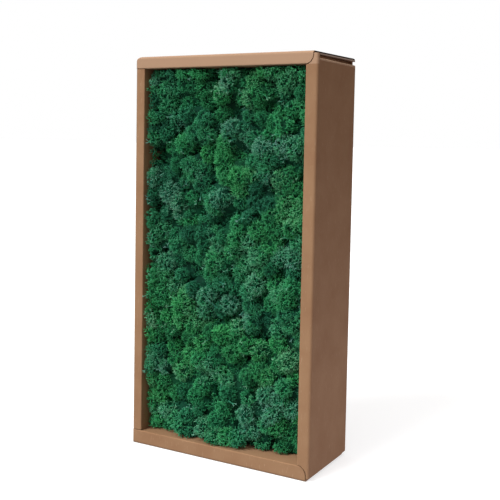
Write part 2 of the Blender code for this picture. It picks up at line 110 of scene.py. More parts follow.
# Kraft paper: its mottling, pale fibres and dark flecks, and how much they stand up
KRAFT_ROUGHNESS = 0.85
KRAFT_SPECULAR = 0.12
KRAFT_MOTTLING = ((0.3, (0.275, 0.150, 0.080)), (0.7, (0.315, 0.182, 0.100)))
MOTTLE_SCALE = 38.0
MOTTLE_DETAIL = 4.0
FIBRE_SCALES = (900.0, 900.0, 160.0)
FIBRE_DETAIL = 3.0
FIBRE_ABOVE = 0.62
FIBRE_CONTRAST = 3.0
FIBRE_COLOUR = (0.46, 0.30, 0.19)
FLECK_SCALE = 700.0
FLECK_DETAIL = 2.0
FLECK_BELOW = 0.30
FLECK_CONTRAST = 4.0
FLECK_COLOUR = (0.12, 0.060, 0.030)
RELIEF_OF_FIBRES = 0.6
RELIEF_OF_MOTTLE = 0.4
RELIEF_STRENGTH = 0.15
RELIEF_DEPTH = 0.15 * MM

# Kraft paper: the strip across the top, paler as painted light; the board's edge from below up; the top
# fold of the right side, pale as a painted highlight; and the left edge of the rims, grey as a painted
# reflection going into shade
STRIP_LOW = HEIGHT - RIM_TOP - 0.1 * MM
STRIP_BACK = FRONT + 2.4 * MM
# The top strip's paler colour is painted light, for the light that it catches from above
STRIP_LIT_COLOUR = (0.43, 0.275, 0.18)
STRIP_LIT_SHARE = 0.75
EDGE_FACING = 0.9
EDGE_LINER = (0.12, 0.065, 0.045)
EDGE_FLUTES = (0.50, 0.42, 0.36)
EDGE_SHADE = (0.04, 0.025, 0.018)
EDGE_LAYERS = (
    (0.0, EDGE_LINER),
    (0.15, EDGE_LINER),
    (0.25, EDGE_FLUTES),
    (0.48, EDGE_FLUTES),
    (0.58, EDGE_SHADE),
    (1.0, EDGE_SHADE),
)
# The pale band at the top fold of the right side is a painted highlight, where the rounded fold catches
# the light
FOLD_HIGHLIGHT_HEIGHT = SIDE_HIGH - 1 * MM
FOLD_HIGHLIGHT_REACH = 1.5 * MM
FOLD_HIGHLIGHT_FROM_RIGHT = 2 * MM
FOLD_HIGHLIGHT_COLOUR = (0.50, 0.36, 0.26)
FOLD_HIGHLIGHT_SHARE = 0.5
# The grey on the left edge of the rims is a painted reflection of the white surround on the rounded fold,
# going into shade
LEFT_FOLD_REFLECTION_FROM_LEFT = 1.5 * MM
LEFT_FOLD_REFLECTION_COLOUR = (0.30, 0.235, 0.19)
LEFT_FOLD_REFLECTION_SHARE = 0.6

# Layout of the clumps and their heads, by the same rule and seed as in the solids
CLUMPS = 55
MOSS_GAP = 0.5 * MM
LAYOUT_SEED = 41
SPREAD_RATIOS = (0.7548776662, 0.5698402910)
SPREAD_ROUNDS = 3
SPREAD_STEP = 4 * MM
CLUMP_DEPTH_JITTER = 3 * MM
NEIGHBOUR_REACH = 110 * MM
TIP_RECESS = 5.5 * MM
WALL_FORWARD = 2.5 * MM
HEAD_RECESS_VARIATION = 9 * MM
STEADY_BY_WALL = 22 * MM
CREVICE_DEPTH = 10 * MM
HEADS_AROUND = (3, 4, 4)
MIDDLE_HEAD_RADIUS = (8.5 * MM, 11 * MM)
OUTER_HEAD_RADIUS = (7 * MM, 10 * MM)
HEAD_PAST_LIMIT = 0.28
HEAD_INTO_WALL = 5 * MM
BESIDE_WALL = 26 * MM
WALL_HEAD_SHIFT = 9 * MM
HEAD_TURN_VARIATION = 0.15

# Hollows in the front of the moss, each with its x, z, radius and depth
HOLLOWS = (
    (-88 * MM, 384 * MM, 11 * MM, 8 * MM),
    (-91 * MM, 24 * MM, 20 * MM, 10 * MM),
    (-91 * MM, 58 * MM, 18 * MM, 5 * MM),
    (60 * MM, 20 * MM, 22 * MM, 9 * MM),
    (20 * MM, 386 * MM, 11 * MM, 9 * MM),
    (37 * MM, 267 * MM, 18 * MM, 9 * MM),
    (-46 * MM, 248 * MM, 10 * MM, 9 * MM),
    (-21 * MM, 289 * MM, 9 * MM, 8 * MM),
    (58 * MM, 355 * MM, 9 * MM, 7 * MM),
    (44 * MM, 141 * MM, 11 * MM, 8 * MM),
)

# Where the moss leans out over the lower rim: x, z and radius, and how far forward and down it comes
PROUD_PLACE = (-12 * MM, 18 * MM, 50 * MM)
PROUD_FORWARD = 6.5 * MM
PROUD_DOWN = 9 * MM

# Templates of the tufts, in millimetres, with the foot below the origin and +Z outwards
TEMPLATES = 16
SIDES = 3
TUBE_ACROSS = (1.0, 0.3, 0.2)
BRANCH_TURN_VARIATION = 0.25
TIP_TAPER = 0.85
FORK_SINK = 0.5
TUFT_FOOT = 4.4
TWIG_FOOT = 1.0

# Tufts on the heads
TUFT_SPACING = 5.9 * MM
ROW_SPACING = 0.866
TUFT_WOBBLE = 0.12
TUFT_PAST_LIMIT = 1.5 * MM
TUFT_PAST_CORE = 2 * MM
TUFT_BACKWARD = 0.35
TUFT_INTO_HEAD = 1 * MM
TUFT_SIZES = (0.85, 1.15)
TINT_VARIATION = 0.05

# Tufts on the moss between the heads, and the pale twigs that lie over it all
BLEND = 2.0 * MM
WALL_REACH = 11 * MM
WALL_RISE = 9 * MM
FILL_TRIES = 3000
FILL_REACH = 45 * MM
FILL_SPACING = 5.1 * MM
FILL_BEHIND = 1.0 * MM
FILL_FORWARD = 1.6
FILL_WOBBLE = 0.15
# The tufts between the heads take darker tints than most heads: painted shade in the crevices between
# them
FILL_SHADED_TINTS = (0.1, 0.4)
SLOPE_STEP = 0.5 * MM
TWIG_SHARE = 0.02
TWIG_LEAN = (50, 75)
TWIG_LIFT = 1 * MM
TWIG_TINTS = (0.82, 1.0)

# A clump as a whole: how far it may reach, and its core, whose dark growths and tints are painted shade
# of the clump's depths
STANDS_PROUD = 2 * MM
CLEAR_OF_TRAY = 0.3 * MM
CORE_DEPTH_SHARE = 0.94
CORE_SHADE_GROWTH = (0.0, 0.2)
CORE_SHADE_TINTS = (0.0, 0.3)

# What each side of a branch adds to its tint, and the name of the map that holds growth and tint
SIDE_TINT = 0.01
BAKE_MAP = "OFBake"

# How the heads look: each style goes up to a share of the heads, with its tints and its kind of tuft
HEAD_STYLES = (
    (0.15, (0.05, 0.2), "bushy"),
    (0.45, (0.2, 0.42), "bushy"),
    (0.85, (0.3, 0.6), "wiry"),
    (1.0, (0.6, 0.75), "wiry"),
)

# Places where the moss looks unlike the rest: x, z and radius in millimetres, tint, and kind of tuft. The
# dark ones on the hollows are painted shade
LOOK_PLACES = (
    (-3, 375, 11, 0.86, "wiry"),
    (63, 378, 18, 0.66, "wiry"),
    (-56, 332, 7, 0.78, "bushy"),
    (-33, 306, 11, 0.56, "bushy"),
    (-45, 277, 11, 0.58, "bushy"),
    (13, 321, 13, 0.70, "bushy"),
    (-5, 259, 12, 0.72, "bushy"),
    (-61, 249, 11, 0.84, "wiry"),
    (51, 278, 12, 0.70, "bushy"),
    (70, 250, 15, 0.64, "wiry"),
    (-78, 193, 12, 0.66, "wiry"),
    (28, 203, 16, 0.70, "wiry"),
    (-30, 144, 16, 0.66, "wiry"),
    (-87, 131, 9, 0.80, "wiry"),
    (18, 140, 11, 0.72, "wiry"),
    (-5, 119, 9, 0.40, "bushy"),
    (-17, 85, 12, 0.70, "wiry"),
    (47, 63, 20, 0.70, "wiry"),
    # These four lie on hollows: their dark tint is painted shade in the hollows
    (37, 267, 18, 0.06, "bushy"),
    (-45, 246, 10, 0.06, "bushy"),
    (58, 355, 9, 0.06, "bushy"),
    (44, 141, 11, 0.06, "bushy"),
)

# Moss slots, each with the colours of a branch from its dark foot to its pale tip. The dark foot is
# partly the moss's own colour and partly painted shade of the clump's depths
MOSS_ROUGHNESS = 0.8
MOSS_SPECULAR = 0.12
MOSS_LOOKS = {
    "moss_mid": (
        (0.001, 0.048, 0.020),
        (0.004, 0.112, 0.041),
        (0.013, 0.218, 0.075),
        (0.072, 0.430, 0.190),
    ),
    "moss_bright": (
        (0.001, 0.048, 0.018),
        (0.005, 0.120, 0.039),
        (0.016, 0.238, 0.073),
        (0.085, 0.460, 0.185),
    ),
    "moss_bluish": (
        (0.001, 0.044, 0.021),
        (0.004, 0.104, 0.044),
        (0.013, 0.197, 0.081),
        (0.076, 0.400, 0.210),
    ),
}
BRANCH_PLACES = (0.0, 0.4, 0.75, 0.94)

# What each tint, from 0 to 1, makes of those colours
TINTS = (
    (0.0, (0.50, 0.52, 0.60)),
    (0.3, (0.95, 0.95, 0.95)),
    (0.55, (1.20, 1.18, 1.00)),
    (0.7, (1.90, 1.15, 1.35)),
    (0.85, (3.00, 1.30, 1.90)),
    (1.0, (4.20, 1.50, 2.60)),
)

Level = namedtuple("Level", "count spread bend length radii growth")
Tuft = namedtuple("Tuft", "place ahead tint size kind")


def node(tree, kind, **inputs):
    """Add a node, with its inputs set to a value or linked to a socket.

    An input goes by its own name, or by _ and its number.
    """
    made = tree.nodes.new(kind)
    for name, value in inputs.items():
        socket = made.inputs[int(name[1:]) if name[0] == "_" else name.replace("_", " ")]
        if isinstance(value, bpy.types.NodeSocket):
            tree.links.new(value, socket)
        else:
            socket.default_value = value
    return made


def maths(tree, operation, first, second=0.0, clamp=False):
    """The result of one Math node."""
    made = node(tree, "ShaderNodeMath", _0=first, _1=second)
    made.operation = operation
    made.use_clamp = clamp
    return made.outputs[0]


def ramp(tree, factor, stops):
    """A colour ramp's result. Each stop is a place from 0 to 1 and a colour."""
    made = node(tree, "ShaderNodeValToRGB", Fac=factor)
    elements = made.color_ramp.elements
    while len(elements) < len(stops):
        elements.new(0.5)
    for element, (place, colour) in zip(elements, stops):
        element.position = place
        element.color = (*colour, 1.0)
    return made.outputs["Color"]


def mix(tree, factor, first, second, blend="MIX"):
    """The mix of two colours, each a socket or three numbers."""
    made = tree.nodes.new("ShaderNodeMix")
    made.data_type = "RGBA"
    made.blend_type = blend
    for socket, value in ((made.inputs[0], factor), (made.inputs[6], first), (made.inputs[7], second)):
        if isinstance(value, bpy.types.NodeSocket):
            tree.links.new(value, socket)
        else:
            socket.default_value = value if isinstance(value, float) else (*value, 1.0)
    return made.outputs[2]


def new_material(name, roughness, specular):
    """A material with its tree and its Principled shader."""
    material = bpy.data.materials.new(name)
    material.use_nodes = True
    shader = material.node_tree.nodes["Principled BSDF"]
    shader.inputs["Roughness"].default_value = roughness
    shader.inputs["Specular IOR Level"].default_value = specular
    return material, material.node_tree, shader


def kraft_material():
    """Brown kraft board: mottled paper with fibres and flecks, a raw edge, a top strip painted paler as
    painted light, a painted highlight on one fold and a painted reflection on another.
    """
    material, tree, shader = new_material("kraft_paper", KRAFT_ROUGHNESS, KRAFT_SPECULAR)
    place = node(tree, "ShaderNodeTexCoord").outputs["Object"]
    axes = node(tree, "ShaderNodeSeparateXYZ", Vector=place).outputs

    mottle = node(
        tree, "ShaderNodeTexNoise", Vector=place, Scale=MOTTLE_SCALE, Detail=MOTTLE_DETAIL
    ).outputs[0]
    colour = ramp(tree, mottle, KRAFT_MOTTLING)
    stretched = node(tree, "ShaderNodeMapping", Vector=place, Scale=FIBRE_SCALES).outputs[0]
    fibres = node(tree, "ShaderNodeTexNoise", Vector=stretched, Scale=1.0, Detail=FIBRE_DETAIL).outputs[0]
    over_level = maths(tree, "SUBTRACT", fibres, FIBRE_ABOVE)
    light_fibres = maths(tree, "MULTIPLY", over_level, FIBRE_CONTRAST, clamp=True)
    colour = mix(tree, light_fibres, colour, FIBRE_COLOUR)
    flecks = node(
        tree, "ShaderNodeTexNoise", Vector=place, Scale=FLECK_SCALE, Detail=FLECK_DETAIL
    ).outputs[0]
    under_level = maths(tree, "SUBTRACT", FLECK_BELOW, flecks)
    dark_flecks = maths(tree, "MULTIPLY", under_level, FLECK_CONTRAST, clamp=True)
    colour = mix(tree, dark_flecks, colour, FLECK_COLOUR)

    # The strip across the top is painted paler: painted light, for the light that it catches from above
    above = maths(tree, "GREATER_THAN", axes["Z"], STRIP_LOW)
    in_front = maths(tree, "LESS_THAN", axes["Y"], STRIP_BACK)
    strip = maths(tree, "MULTIPLY", above, in_front)
    colour = mix(tree, maths(tree, "MULTIPLY", strip, STRIP_LIT_SHARE), colour, STRIP_LIT_COLOUR)

    # Where the top wall is cut off, the board's edge shows pale flutes over a liner, and shade over both
    facing = node(tree, "ShaderNodeNewGeometry").outputs["True Normal"]
    sideways = node(tree, "ShaderNodeSeparateXYZ", Vector=facing).outputs["X"]
    cut_off = maths(tree, "GREATER_THAN", sideways, EDGE_FACING)
    behind = maths(tree, "GREATER_THAN", axes["Y"], FRONT + BOARD)
    over = maths(tree, "GREATER_THAN", axes["Z"], HEIGHT - BOARD)
    edge = maths(tree, "MULTIPLY", maths(tree, "MULTIPLY", cut_off, behind), over)
    through = maths(tree, "DIVIDE", maths(tree, "SUBTRACT", axes["Z"], HEIGHT - BOARD), BOARD)
    layers = ramp(tree, through, EDGE_LAYERS)
    colour = mix(tree, edge, colour, layers)

    # The fold at the top of the right side is painted pale, a painted highlight where the rounded fold
    # catches the light, and the left edge of the rims is painted grey, a painted reflection of the white
    # surround on its rounded fold as it turns into shade
    from_fold = maths(tree, "ABSOLUTE", maths(tree, "SUBTRACT", axes["Z"], FOLD_HIGHLIGHT_HEIGHT))
    near_fold = maths(tree, "LESS_THAN", from_fold, FOLD_HIGHLIGHT_REACH)
    outside = maths(tree, "GREATER_THAN", axes["X"], RIGHT - FOLD_HIGHLIGHT_FROM_RIGHT)
    fold_highlight = maths(tree, "MULTIPLY", maths(tree, "MULTIPLY", near_fold, outside), behind)
    colour = mix(tree, maths(tree, "MULTIPLY", fold_highlight, FOLD_HIGHLIGHT_SHARE), colour, FOLD_HIGHLIGHT_COLOUR)
    at_left = maths(tree, "LESS_THAN", axes["X"], LEFT + LEFT_FOLD_REFLECTION_FROM_LEFT)
    left_fold_reflection = maths(tree, "MULTIPLY", at_left, in_front)
    colour = mix(tree, maths(tree, "MULTIPLY", left_fold_reflection, LEFT_FOLD_REFLECTION_SHARE), colour, LEFT_FOLD_REFLECTION_COLOUR)
    tree.links.new(colour, shader.inputs["Base Color"])

    raised_fibres = maths(tree, "MULTIPLY", fibres, RELIEF_OF_FIBRES)
    raised_mottle = maths(tree, "MULTIPLY", mottle, RELIEF_OF_MOTTLE)
    height = maths(tree, "ADD", raised_fibres, raised_mottle)
    bump = node(tree, "ShaderNodeBump", Strength=RELIEF_STRENGTH, Distance=RELIEF_DEPTH, Height=height)
    tree.links.new(bump.outputs[0], shader.inputs["Normal"])
    return material


def moss_material(slot):
    """Moss of one dye lot: dark at a branch's foot, which is partly its own colour and partly painted
    shade, pale at its tip, with a tint for each tuft.
    """
    material, tree, shader = new_material(f"{slot}_branches", MOSS_ROUGHNESS, MOSS_SPECULAR)
    growth = node(tree, "ShaderNodeAttribute")
    growth.attribute_name = "growth"
    tint = node(tree, "ShaderNodeAttribute")
    tint.attribute_name = "tint"
    # Darker towards a branch's foot: partly the moss's own colour, partly painted shade
    along = ramp(tree, growth.outputs["Fac"], list(zip(BRANCH_PLACES, MOSS_LOOKS[slot])))
    shade = ramp(tree, tint.outputs["Fac"], TINTS)
    colour = mix(tree, 1.0, along, shade, "MULTIPLY")
    tree.links.new(colour, shader.inputs["Base Color"])
    return material


class Shape:
    """A mesh in the making: its faces, and its points with their growth and their side of the branch."""

    def __init__(self):
        self.points = []
        self.growth = []
        self.side = []
        self.faces = []

    def add_tube(self, path, radii, growths):
        """A three-sided tube along a path. A last radius of 0 ends it in a point."""
        across = Vector(TUBE_ACROSS)
        before = None
        for number, (point, radius, growth) in enumerate(zip(path, radii, growths)):
            ahead = (path[min(number + 1, len(path) - 1)] - path[max(number - 1, 0)]).normalized()
            across = (across - ahead * across.dot(ahead)).normalized()
            other = ahead.cross(across)
            first = len(self.points)
            corners = SIDES if radius else 1
            for corner in range(corners):
                angle = math.tau * corner / SIDES
                self.points.append(point + (across * math.cos(angle) + other * math.sin(angle)) * radius)
                self.growth.append(growth)
                self.side.append(corner)
            if before is not None:
                for corner in range(SIDES):
                    after = (corner + 1) % SIDES
                    face = [before + corner, before + after]
                    face += [first + after, first + corner] if radius else [first]
                    self.faces.append(face)
            before = first


def turned(direction, polar, azimuth):
    """A direction turned away from another by a polar angle, towards an azimuth round it."""
    side = direction.orthogonal().normalized()
    other = direction.cross(side)
    across = side * math.cos(azimuth) + other * math.sin(azimuth)
    return (direction * math.cos(polar) + across * math.sin(polar)).normalized()


def fork(shape, start, direction, levels, draw):
    """Grow branches from a point, and theirs from their ends, down to the pointed tips."""
    level = levels[0]
    turn = draw.uniform(0, math.tau)
    for number in range(level.count):
        turned_by = draw.uniform(-BRANCH_TURN_VARIATION, BRANCH_TURN_VARIATION)
        azimuth = turn + math.tau * (number + turned_by) / level.count
        ahead = turned(direction, math.radians(draw.uniform(*level.spread)), azimuth)
        bent = turned(ahead, math.radians(draw.uniform(*level.bend)), draw.uniform(0, math.tau))
        length = draw.uniform(*level.length)
        middle = start + ahead * length / 2
        end = middle + bent * length / 2
        thick, thin = level.radii
        low, high = level.growth
        if thin == 0:
            growths = [low, (low + high) / 2, high]
            shape.add_tube([start, middle, end], [thick, thick * TIP_TAPER, 0], growths)
            continue
        shape.add_tube([start, end], [thick, thin], [low, high])
        fork(shape, end - bent * thin * FORK_SINK, bent, levels[1:], draw)


# Each kind's branchings from the foot up: how many branches, their spread and bend in degrees, their
# length and radii in millimetres, and their growth
BUSHY = (
    Level(1, (0, 12), (0, 10), (1.8, 2.4), (0.60, 0.50), (0.0, 0.2)),
    Level(4, (35, 62), (0, 25), (1.5, 2.1), (0.42, 0.38), (0.2, 0.5)),
    Level(2, (20, 48), (0, 40), (1.2, 1.8), (0.37, 0.33), (0.5, 0.72)),
    Level(2, (25, 60), (20, 65), (1.8, 3.0), (0.31, 0), (0.72, 1.0)),
)
WIRY = (
    Level(1, (0, 20), (0, 10), (2.0, 3.0), (0.55, 0.45), (0.0, 0.25)),
    Level(4, (35, 72), (10, 40), (2.0, 3.0), (0.38, 0.34), (0.3, 0.6)),
    Level(2, (20, 55), (10, 50), (1.8, 2.8), (0.34, 0.30), (0.6, 0.8)),
    Level(2, (25, 65), (35, 90), (2.4, 3.9), (0.29, 0), (0.8, 1.0)),
)
TWIG = (
    Level(1, (0, 15), (15, 35), (4.0, 6.0), (0.38, 0.34), (0.5, 0.75)),
    Level(2, (15, 45), (10, 40), (2.2, 3.6), (0.32, 0.28), (0.7, 0.85)),
    Level(2, (20, 50), (20, 60), (2.0, 3.2), (0.28, 0), (0.85, 0.95)),
)
KINDS = {"bushy": (BUSHY, TUFT_FOOT), "wiry": (WIRY, TUFT_FOOT), "twig": (TWIG, TWIG_FOOT)}


def grow_template(levels, foot, draw):
    """One tuft as arrays: its points in metres, their growth and side, and its quads and triangles."""
    shape = Shape()
    fork(shape, Vector((0.0, 0.0, -foot)), Vector((0.0, 0.0, 1.0)), levels, draw)
    points = np.array([tuple(point) for point in shape.points]) * MM
    quads = np.array([face for face in shape.faces if len(face) == 4])
    triangles = np.array([face for face in shape.faces if len(face) == 3])
    return points, np.array(shape.growth), np.array(shape.side), quads, triangles


def proud_share(x, z):
    """How far a place belongs to the stretch where the moss leans out over the rim, from 0 to 1."""
    proud_x, proud_z, radius = PROUD_PLACE
    away = math.hypot(x - proud_x, z - proud_z) / radius
    return math.exp(-away * away)


def front_recess(x, z):
    """How deep behind the rims the moss lies at a place. It is less beside the left and the top wall."""
    from_wall = max(0.0, min(x - INSIDE_LEFT, INSIDE_HIGH - z))
    recess = TIP_RECESS - WALL_FORWARD * max(0.0, 1 - from_wall / STEADY_BY_WALL)
    for hollow_x, hollow_z, radius, depth in HOLLOWS:
        away = math.hypot(x - hollow_x, z - hollow_z) / radius
        recess += depth * math.exp(-away * away)
    return recess - PROUD_FORWARD * proud_share(x, z)


def clump_places():
    """The clumps' places: an even sequence, then each moved to the middle of what lies nearest to it."""
    draw = random.Random(LAYOUT_SEED)
    places = []
    for number in range(CLUMPS):
        across, up = ((number * ratio) % 1.0 for ratio in SPREAD_RATIOS)
        x = INSIDE_LEFT + across * (INSIDE_RIGHT - INSIDE_LEFT)
        z = INSIDE_LOW + up * (INSIDE_HIGH - INSIDE_LOW)
        places.append(Vector((x, 0.0, z)))
    columns = int((INSIDE_RIGHT - INSIDE_LEFT) / SPREAD_STEP)
    rows = int((INSIDE_HIGH - INSIDE_LOW) / SPREAD_STEP)
    for _ in range(SPREAD_ROUNDS):
        sums = [Vector() for _ in places]
        counts = [0] * CLUMPS
        for number in range(columns * rows):
            row, column = divmod(number, columns)
            x = INSIDE_LEFT + (column + 0.5) * SPREAD_STEP
            z = INSIDE_LOW + (row + 0.5) * SPREAD_STEP
            point = Vector((x, 0.0, z))
            nearest = min(range(CLUMPS), key=lambda index: (places[index] - point).length_squared)
            sums[nearest] += point
            counts[nearest] += 1
        places = [total / max(count, 1) for total, count in zip(sums, counts)]
    for place in places:
        place.y = FRONT + draw.uniform(0, CLUMP_DEPTH_JITTER)
    return sorted(places, key=lambda place: (-place.z, place.x))


def clump_limits(place, places, slack=0.0):
    """The planes that hold a clump in, each as a normal and an offset: its neighbours and the tray.

    slack moves the tray's side and end walls outwards.
    """
    limits = []
    for other in places:
        away = other - place
        if 0 < away.length < NEIGHBOUR_REACH:
            normal = away.normalized()
            limits.append((normal, normal.dot((place + other) / 2) - MOSS_GAP / 2))
    for normal, wall in (
        ((-1, 0, 0), slack - INSIDE_LEFT),
        ((1, 0, 0), slack + INSIDE_RIGHT),
        ((0, 0, -1), slack - INSIDE_LOW),
        ((0, 0, 1), slack + INSIDE_HIGH),
        ((0, -1, 0), -FRONT),
        ((0, 1, 0), INSIDE_BACK),
    ):
        limits.append((Vector(normal), wall - MOSS_GAP))
    return limits


def reach_of_planes(centre, direction, limits):
    """How far a ray from the centre goes before it meets one of the planes."""
    reach = DEPTH
    for normal, offset in limits:
        speed = normal.dot(direction)
        if speed > 0:
            reach = min(reach, (offset - normal.dot(centre)) / speed)
    return reach


def clump_heads(index, places):
    """The round heads of one clump, each as a centre and a radius: one in the middle, others round it.

    A clump beside the left or the top wall has two more, pressed against the wall.
    """
    draw = random.Random(LAYOUT_SEED + index + 1)
    place = places[index]
    limits = clump_limits(place, places, HEAD_INTO_WALL)
    spots = [(place.x, place.z, draw.uniform(*MIDDLE_HEAD_RADIUS))]
    around = draw.choice(HEADS_AROUND)
    turn = draw.uniform(0, math.tau)
    for number in range(around):
        turned_by = draw.uniform(-HEAD_TURN_VARIATION, HEAD_TURN_VARIATION)
        angle = turn + math.tau * (number + turned_by) / around
        across = Vector((math.cos(angle), 0.0, math.sin(angle)))
        radius = draw.uniform(*OUTER_HEAD_RADIUS)
        distance = reach_of_planes(place, across, limits) - radius * (1 - HEAD_PAST_LIMIT)
        distance = max(distance, radius / 2)
        spots.append((place.x + across.x * distance, place.z + across.z * distance, radius))
    for shift in (-WALL_HEAD_SHIFT, WALL_HEAD_SHIFT):
        if place.x < INSIDE_LEFT + BESIDE_WALL:
            radius = draw.uniform(*OUTER_HEAD_RADIUS)
            spots.append((INSIDE_LEFT + radius / 3, place.z + shift, radius))
        if place.z > INSIDE_HIGH - BESIDE_WALL:
            radius = draw.uniform(*OUTER_HEAD_RADIUS)
            spots.append((place.x + shift, INSIDE_HIGH - radius / 3, radius))
    heads = []
    for x, z, radius in spots:
        proud = proud_share(x, z)
        from_wall = max(0.0, min(x - INSIDE_LEFT, INSIDE_HIGH - z))
        free = min(1.0, from_wall / STEADY_BY_WALL) * (1 - proud)
        recess = front_recess(x, z) + draw.uniform(0, HEAD_RECESS_VARIATION) * free
        z = max(z - PROUD_DOWN * proud, INSIDE_LOW + radius / 2)
        heads.append((Vector((x, FRONT + recess + radius, z)), radius))
    return heads


def even_directions(count):
    """Evenly spread unit vectors, by a golden-angle spiral from the front to the back."""
    golden = math.pi * (3 - math.sqrt(5))
    vectors = []
    for number in range(count):
        y = -1 + 2 * (number + 0.5) / count
        ring = math.sqrt(1 - y * y)
        vectors.append(Vector((ring * math.cos(golden * number), y, ring * math.sin(golden * number))))
    return vectors


def head_style(draw):
    """A head's tint and its kind of tuft."""
    share = draw.random()
    tints, kind = next((tints, kind) for up_to, tints, kind in HEAD_STYLES if share < up_to)
    return draw.uniform(*tints), kind


def look_at_place(point, tint, kind):
    """The tint and the kind of tuft at a point: its head's, unless it lies in one of the places."""
    for x, z, radius, place_tint, place_kind in LOOK_PLACES:
        if math.hypot(point.x - x * MM, point.z - z * MM) < radius * MM:
            return place_tint, place_kind
    return tint, kind


def moss_front(x, z, heads, core_front):
    """Where the moss's front lies at a place across the tray, rounded where two heads meet.

    Between the heads it is the core's front, which comes forward where a wall presses on the moss, by
    less in a hollow.
    """
    beside = max(0.0, 1 - min(x - INSIDE_LEFT, INSIDE_RIGHT - x, INSIDE_HIGH - z) / WALL_REACH)
    rise = max(0.0, WALL_RISE * beside - max(0.0, front_recess(x, z) - TIP_RECESS))
    total = math.exp(-(core_front - rise) / BLEND)
    for middle, radius in heads:
        inside = radius * radius - (x - middle.x) ** 2 - (z - middle.z) ** 2
        if inside > 0:
            total += math.exp(-(middle.y - math.sqrt(inside)) / BLEND)
    return -BLEND * math.log(total)


def varied_tuft(point, ahead, tint, kind, draw):
    """A tuft with a tint and a size of its own."""
    return Tuft(point, ahead, tint + draw.gauss(0, TINT_VARIATION), draw.uniform(*TUFT_SIZES), kind)


def place_tufts(place, heads, limits, draw):
    """A clump's tufts: on the fronts and sides of its heads, and in all that these leave open."""
    core_front = sum(middle.y - radius for middle, radius in heads) / len(heads) + CREVICE_DEPTH
    tufts = []
    for number, (middle, radius) in enumerate(heads):
        head_tint, head_kind = head_style(draw)
        count = round(4 * math.pi * radius * radius / (TUFT_SPACING * TUFT_SPACING * ROW_SPACING))
        spin = Matrix.Rotation(draw.uniform(0, math.tau), 3, "Y")
        others = heads[:number] + heads[number + 1 :]
        for vector in even_directions(count):
            wobble = Vector([draw.gauss(0, TUFT_WOBBLE) for _ in range(3)])
            vector = (spin @ vector + wobble).normalized()
            point = middle + vector * radius
            if point.y > core_front + TUFT_PAST_CORE or vector.y > TUFT_BACKWARD:
                continue
            if any(normal.dot(point) > offset + TUFT_PAST_LIMIT for normal, offset in limits):
                continue
            if any((point - other).length < size - TUFT_INTO_HEAD for other, size in others):
                continue
            tint, kind = look_at_place(point, head_tint, head_kind)
            tufts.append(varied_tuft(point, vector, tint, kind, draw))

    # What the heads leave open is filled along the rounded front, at random, wherever no tuft is near.
    # These tufts take darker tints, painted shade between the heads
    points = np.array([tuple(tuft.place) for tuft in tufts])
    for _ in range(FILL_TRIES):
        x = place.x + draw.uniform(-FILL_REACH, FILL_REACH)
        z = place.z + draw.uniform(-FILL_REACH, FILL_REACH)
        y = moss_front(x, z, heads, core_front)
        point = Vector((x, y + FILL_BEHIND, z))
        if any(normal.dot(point) > offset for normal, offset in limits):
            continue
        if np.min(np.linalg.norm(points - np.array(point), axis=1)) < FILL_SPACING:
            continue
        slope_x = (moss_front(x + SLOPE_STEP, z, heads, core_front) - y) / SLOPE_STEP
        slope_z = (moss_front(x, z + SLOPE_STEP, heads, core_front) - y) / SLOPE_STEP
        lean_x = slope_x + draw.gauss(0, FILL_WOBBLE)
        lean_z = slope_z + draw.gauss(0, FILL_WOBBLE)
        vector = Vector((lean_x, -FILL_FORWARD, lean_z)).normalized()
        tint, kind = look_at_place(point, draw.uniform(*FILL_SHADED_TINTS), "bushy")
        tufts.append(varied_tuft(point, vector, tint, kind, draw))
        points = np.append(points, [tuple(point)], axis=0)

    # A few pale twigs lie over the rest
    for tuft in draw.sample(tufts, math.ceil(len(tufts) * TWIG_SHARE)):
        lying = turned(tuft.ahead, math.radians(draw.uniform(*TWIG_LEAN)), draw.uniform(0, math.tau))
        over = tuft.place + tuft.ahead * TWIG_LIFT
        tufts.append(Tuft(over, lying, draw.uniform(*TWIG_TINTS), 1.0, "twig"))
    return tufts


def solid_of(mesh):
    """A solid's points, each once, and its triangles."""
    corners = np.array([tuple(vertex.co) for vertex in mesh.vertices])
    rounded = np.round(corners / WELD).astype(int)
    _, first, merged = np.unique(rounded, axis=0, return_index=True, return_inverse=True)
    triangles = np.array([list(polygon.vertices) for polygon in mesh.polygons])
    return corners[first], merged.ravel()[triangles]


